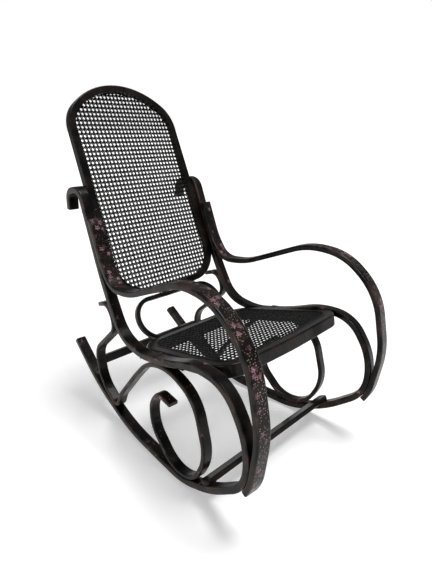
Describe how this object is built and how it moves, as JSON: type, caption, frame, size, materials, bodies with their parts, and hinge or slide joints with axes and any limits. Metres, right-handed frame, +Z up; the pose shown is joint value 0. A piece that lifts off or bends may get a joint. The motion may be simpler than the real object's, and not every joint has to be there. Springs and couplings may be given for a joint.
{
  "type": "bentwood rocking chair",
  "caption": "Bentwood rocking chair with a caned seat and back, scrolled sides and long curved runners.",
  "frame": {"origin": "on the floor under the middle of the chair's bounding box", "axes": "+Z up, -Y the front where the sitter's legs go, +X the sitter's left"},
  "size_m": [0.5604, 0.845, 0.9223],
  "materials": {
    "lacquered_beech": "satin",
    "lacquered_cane": "satin",
    "lacquered_spline": "satin",
    "black_steel": "satin"
  },
  "bodies": {
    "root": {"arm_left": "lacquered_beech", "arm_right": "lacquered_beech", "arm_screws": "black_steel", "back_cane": "lacquered_cane", "back_frame": "lacquered_beech", "back_rail_left": "lacquered_beech", "back_rail_right": "lacquered_beech", "back_screws": "black_steel", "back_spline": "lacquered_spline", "front_stretcher": "lacquered_beech", "hoop_screws": "black_steel", "oval_hoop": "lacquered_beech", "rear_stretcher": "lacquered_beech", "runner_left": "lacquered_beech", "runner_right": "lacquered_beech", "scarf_screws": "black_steel", "scroll_left": "lacquered_beech", "scroll_right": "lacquered_beech", "scroll_screws": "black_steel", "seat_cane": "lacquered_cane", "seat_frame": "lacquered_beech", "seat_screws": "black_steel", "seat_spline": "lacquered_spline", "stretcher_screws": "black_steel"}
  },
  "joints": []
}
